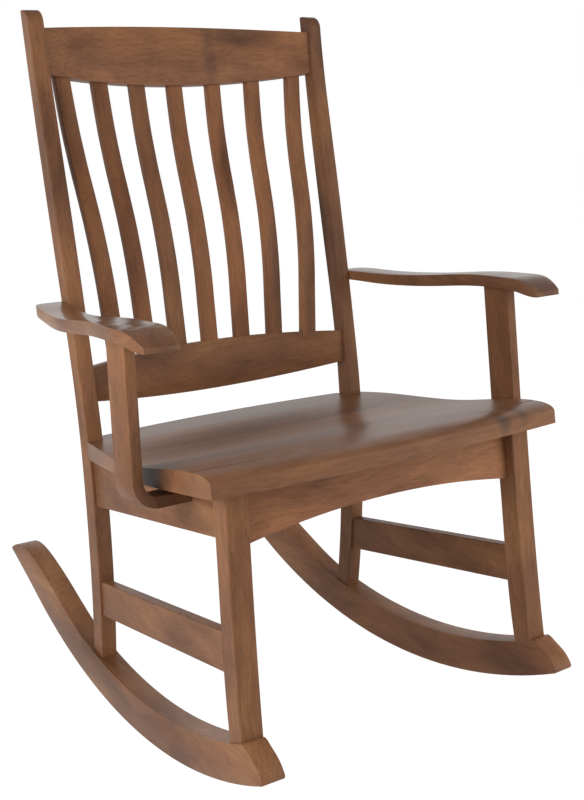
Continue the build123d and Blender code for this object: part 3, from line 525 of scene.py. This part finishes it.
# Board 1's marks are stains in the wood; board 2's dark end by the arm post's foot is painted shade
seat_stains_and_shade = {
    1: [
        ((0.189, -0.365, 0.470), (0.020, 0.10, 0.05), (0.54, 0.60, 0.72)),
        ((0.232, -0.341, 0.478), (0.014, 0.07, 0.04), (0.66, 0.70, 0.78)),
    ],
    # Painted shade: board 2's end is darkened where the near arm post's foot shades it
    2: [((-0.310, -0.205, 0.445), (0.05, 0.09, 0.08), (0.26, 0.24, 0.24))],
}
for number, tone in enumerate(seat_tones, 1):
    wood = hickory(
        "seat board %d" % number, grain_across, 1.7 * number, tone=tone,
        pith=(-0.4 + 0.17 * number, 0.30), gloss=0.33, shine=0.25, streaks=0.3,
        clouding=0.6, porous=0.4, raised=0.03, patchy=0.02, stains_and_shade=seat_stains_and_shade.get(number, ()),
    )
    dress(nodes["seat_board_%d" % number], wood)

# Crest rail and lower back rail: boards bent to the sitter's back, let into the posts at their ends.
# The slats stand between them. The crest is the paler board, with a few darker clouds in its face.
crest_stains = [
    ((0.125, 0.205, 1.048), (0.10, 0.10, 0.030), (0.70, 0.75, 0.84)),
    ((0.066, 0.205, 1.005), (0.016, 0.10, 0.090), (0.74, 0.78, 0.86)),
    ((-0.03, 0.205, 0.965), (0.060, 0.10, 0.028), (0.84, 0.82, 0.82)),
]
wood = hickory("crest rail", grain_across, 3.1, tone=1.20, pith=(0.1, 1.2), stains_and_shade=crest_stains)
eased("crest_rail", 0.002, wood)
wood = hickory("lower back rail", grain_across, 4.6, tone=0.86, pith=(0.1, 0.7))
eased("lower_back_rail", 0.002, wood)

# Back slats: seven thin strips, steamed to the curve of the back and housed in the two rails.
# They fan out a little towards the crest and stand on the rails' bow, deepest in the middle.
slat_sizes = {
    "Count": 7.0, "Thickness": 0.0139, "Bottom width": 0.0278, "Top width": 0.0258,
    "Bottom pitch": 0.06204, "Top pitch": 0.0730, "Bottom bow": 0.0235, "Top bow": 0.0322,
    "Lower rail top": 0.5630, "Lower rail crown": 0.013, "Crest bottom": 1.0105, "Crest dip": 0.0108,
    "Housing": 0.012, "Half width": 0.2445,
}
# Height up the slat, as a share of the way between the rails, and how far back its face is there
slat_face = [
    (-0.163, 0.4100), (0.016, 0.4060), (0.159, 0.4030), (0.3, 0.4005), (0.442, 0.4030),
    (0.583, 0.4105), (0.724, 0.4195), (0.867, 0.4240), (1.111, 0.4220),
]
face_nearest = 0.39
face_range = 0.04
slat_steps = 61
# The chair is laid out upright, then leans back to where it balances on its rockers
bench_lean = math.radians(8.17897)
bench_middle = 0.3852986
bench_floor = -0.0377929
slat_tones = (
    (0.86, 0.79, 0.73), (0.81, 0.79, 0.79), (1.0, 0.94, 0.90), (1.06, 0.98, 0.92),
    (1.02, 0.97, 0.92), (0.94, 0.91, 0.88), (0.90, 0.87, 0.85),
)
slat_stains = [
    ((-0.218, 0.167, 0.915), (0.03, 0.06, 0.12), (0.78, 0.82, 0.90)),
    ((-0.125, 0.180, 0.900), (0.03, 0.06, 0.13), (0.80, 0.84, 0.92)),
    ((0.135, 0.122, 0.630), (0.018, 0.06, 0.12), (0.72, 0.78, 0.90)),
    ((0.188, 0.104, 0.600), (0.014, 0.06, 0.12), (0.74, 0.80, 0.92)),
]


def slat_tree():
    """Seven strips: each a subdivided bar moved to its place, width, curve and setback."""
    tree, size = sized_tree("slats", slat_sizes, False)

    # Straight bars, one for each slat, that carry their number
    spots = join(tree, "GeometryNodeMeshLine", {"Count": size["Count"], "Offset": (0, 0, 0)})
    index = join(tree, "GeometryNodeInputIndex").outputs[0]
    named = join(
        tree, "GeometryNodeStoreNamedAttribute",
        {"Geometry": spots.outputs[0], "Name": "slat", "Value": index}, data_type="INT", domain="POINT",
    )
    bar = join(tree, "GeometryNodeMeshCube", {
        "Size": (1, 1, 1), "Vertices X": 2, "Vertices Y": 2, "Vertices Z": slat_steps,
    }).outputs["Mesh"]
    bars = join(tree, "GeometryNodeInstanceOnPoints", {"Points": named.outputs[0], "Instance": bar})
    bars = join(tree, "GeometryNodeRealizeInstances", {"Geometry": bars.outputs[0]}).outputs[0]

    # How high each point of a bar goes: the ends follow the rails' edges and enter their housings
    local = join(tree, "GeometryNodeInputPosition").outputs[0]
    local = join(tree, "ShaderNodeSeparateXYZ", {"Vector": local}).outputs
    number = join(tree, "GeometryNodeInputNamedAttribute", {"Name": "slat"}, data_type="INT")
    middle = calc(tree, "MULTIPLY_ADD", size["Count"], 0.5, -0.5)
    offset = calc(tree, "SUBTRACT", number.outputs[0], middle)

    def bowed(full, pitch, rise, sign):
        """The height of a rail's edge over one slat."""
        off = calc(tree, "DIVIDE", calc(tree, "MULTIPLY", offset, pitch), size["Half width"])
        share = calc(tree, "SUBTRACT", 1.0, calc(tree, "MULTIPLY", off, off))
        return calc(tree, "MULTIPLY_ADD", calc(tree, "MULTIPLY", share, rise), sign, full)

    low = bowed(size["Lower rail top"], size["Bottom pitch"], size["Lower rail crown"], 1.0)
    low = calc(tree, "SUBTRACT", low, size["Housing"])
    high = bowed(size["Crest bottom"], size["Top pitch"], size["Crest dip"], -1.0)
    high = calc(tree, "ADD", high, size["Housing"])
    along = calc(tree, "ADD", local[2], 0.5)
    height = mapped(tree, along, (0.0, 1.0), (low, high))
    rails = (size["Lower rail top"], size["Crest bottom"])
    share = mapped(tree, height, rails, (0.0, 1.0), clamp=False)

    def blend(bottom, top):
        """A size that changes evenly on the way up."""
        return mapped(tree, share, (0.0, 1.0), (size[bottom], size[top]), clamp=False)

    # How far back it goes: the face's own curve and the bow that the rails give the back
    first, last = slat_face[0][0], slat_face[-1][0]
    curve = join(tree, "ShaderNodeFloatCurve", {
        "Value": mapped(tree, share, (first, last), (0.0, 1.0)),
    })
    points = curve.mapping.curves[0].points
    while len(points) < len(slat_face):
        points.new(0.5, 0.5)
    for point, (at, face) in zip(points, slat_face):
        point.location = ((at - first) / (last - first), (face - face_nearest) / face_range)
        point.handle_type = "AUTO"
    curve.mapping.update()
    face = calc(tree, "MULTIPLY_ADD", curve.outputs[0], face_range, face_nearest)
    off = calc(tree, "DIVIDE", offset, middle)
    inward = calc(tree, "SUBTRACT", 1.0, calc(tree, "MULTIPLY", off, off))
    setback = calc(tree, "MULTIPLY", blend("Bottom bow", "Top bow"), inward)
    depth = calc(tree, "MULTIPLY", calc(tree, "ADD", local[1], 0.5), size["Thickness"])

    # How far across it goes, then the lean of the whole back
    x = calc(tree, "MULTIPLY", offset, blend("Bottom pitch", "Top pitch"))
    x = calc(tree, "MULTIPLY_ADD", local[0], blend("Bottom width", "Top width"), x)
    y = calc(tree, "ADD", calc(tree, "ADD", face, setback), depth)
    position = xyz(tree, x, y, height)
    shaped = join(tree, "GeometryNodeSetPosition", {"Geometry": bars, "Position": position})
    leaned = join(tree, "GeometryNodeTransform", {
        "Geometry": shaped.outputs[0], "Translation": (0, -bench_middle, -bench_floor),
        "Rotation": (-bench_lean, 0, 0),
    })
    wood = hickory(
        "back slat", grain_up(8), 0.9, pith=(0.05, 0.04), stains_and_shade=slat_stains, by_slat=slat_tones
    )
    finish_tree(tree, leaned.outputs[0], wood)
    return tree


slats = add_object("back_slats", bpy.data.meshes.new("back_slats"))
grow(slats, slat_tree(), slat_sizes)
round_over(slats, 0.0016)
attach(slats, "root")
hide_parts(*("back_slat_%d" % number for number in range(1, int(slat_sizes["Count"]) + 1)))

# Arms and their posts: the arms are shaped from wide boards of the same hickory, and are smoother
# than the rest, as hands rub them. Each post is bent in one piece from the underside of the arm
# down and in to the side apron.
# The far (left) arm post is toned darker, partly its own colour and partly painted shade on that side
arm_post_tones_and_painted_shade = {"left": 0.80, "right": 0.86}
for side, seed in (("left", 2.9), ("right", 6.4)):
    wood = hickory(
        "arm " + side, grain_along, seed, tone=0.84, pith=(0.3, 0.55), gloss=0.24,
        shine=0.28, porous=0.2, raised=0.015, patchy=0.01,
    )
    eased("arm_" + side, 0.003, wood)
    wood = hickory(
        "arm post " + side, grain_up(8), seed + 1, tone=arm_post_tones_and_painted_shade[side], pith=(0.3, 0.1)
    )
    eased("arm_post_" + side, 0.002, wood)

# Floor: a plain pale floor that runs out of sight and takes a soft shadow.
# It gives off some light of its own where it is looked at, which keeps it close to white.
floor_reach = 30
floor_corners = [(x * floor_reach, y * floor_reach, 0) for x, y in ((-1, -1), (1, -1), (1, 1), (-1, 1))]
floor_mesh = bpy.data.meshes.new("floor")
floor_mesh.from_pydata(floor_corners, [], [(0, 1, 2, 3)])
floor = add_object("floor", floor_mesh)
pale, tree = blank_material("pale floor")
path = join(tree, "ShaderNodeLightPath")
looked_at = path.outputs["Is Camera Ray"]
seen = calc(tree, "MAXIMUM", looked_at, path.outputs["Is Glossy Ray"])
matt = join(tree, "ShaderNodeBsdfDiffuse", {"Color": (0.82, 0.82, 0.82, 1)})
white = join(tree, "ShaderNodeEmission", {"Color": (1, 1, 1, 1), "Strength": 1.13})
share = calc(tree, "MULTIPLY_ADD", looked_at, 0.51, calc(tree, "MULTIPLY", seen, 0.35))
mixed = join(tree, "ShaderNodeMixShader", {0: share, 1: matt.outputs[0], 2: white.outputs[0]})
join(tree, "ShaderNodeOutputMaterial", {"Surface": mixed.outputs[0]})
dress(floor, pale)

# Studio: an even pale surround, white where it is looked at and dimmer overhead in reflections.
# Four square soft lights stand around the chair, and none of them is mirrored in its finish.
world = bpy.data.worlds.new("studio")
bpy.context.scene.world = world
world.use_nodes = True
tree = world.node_tree
tree.nodes.clear()
path = join(tree, "ShaderNodeLightPath")
direct = calc(tree, "MAXIMUM", path.outputs["Is Camera Ray"], path.outputs["Is Transmission Ray"])
toward = join(tree, "ShaderNodeTexCoord").outputs["Generated"]
upward = join(tree, "ShaderNodeSeparateXYZ", {0: toward}).outputs[2]
overhead = mapped(tree, upward, (0.25, 0.75), (1.0, 0.35))
in_gloss = calc(tree, "MULTIPLY", path.outputs["Is Glossy Ray"], overhead)
seen = calc(tree, "MAXIMUM", direct, in_gloss)
lighting = 0.30
strength = calc(tree, "MAXIMUM", seen, lighting)
sky = join(tree, "ShaderNodeBackground", {"Color": (1, 1, 1, 1), "Strength": strength})
join(tree, "ShaderNodeOutputWorld", {"Surface": sky.outputs[0]})


lights_point_at = Vector((0, 0, 0.5))


def softbox(name, spot, size, power):
    """A square soft light, of a size in metres and a power in watts."""
    lamp = bpy.data.lights.new(name, "AREA")
    lamp.size = size
    lamp.energy = power
    light = add_object(name, lamp)
    light.location = spot
    light.visible_glossy = False
    light.rotation_euler = (lights_point_at - Vector(spot)).to_track_quat("-Z", "Y").to_euler()


softbox("left", (-1.35, -0.35, 0.85), 1.0, 19)
softbox("front", (1.3, -1.8, 1.0), 1.4, 28)
softbox("back", (0.4, 3.0, 0.9), 3.0, 22)
softbox("right", (3.0, 0.2, 0.9), 2.4, 18)

# Camera: in front of the chair and to its right-hand side, well above the arms, and looking down
# a little at the seat. Its lens is slightly long, shifted sideways and rolled a degree or two.
view_from = Vector((-1.0402, -1.5621, 0.9090))
view_to = Vector((-0.1102, -0.1313, 0.5213))
roll = math.radians(-1.6)
lens = bpy.data.cameras.new("camera")
lens.lens = 54.0
lens.sensor_width = 36.0
lens.shift_x = 0.065
lens.shift_y = -0.0125
lens.clip_start = 0.05
camera = add_object("camera", lens)
camera.location = view_from
aim = (view_to - view_from).to_track_quat("-Z", "Y") @ Quaternion((0, 0, 1), roll)
camera.rotation_euler = aim.to_euler()
bpy.context.scene.camera = camera
bpy.context.scene.view_settings.view_transform = "Standard"
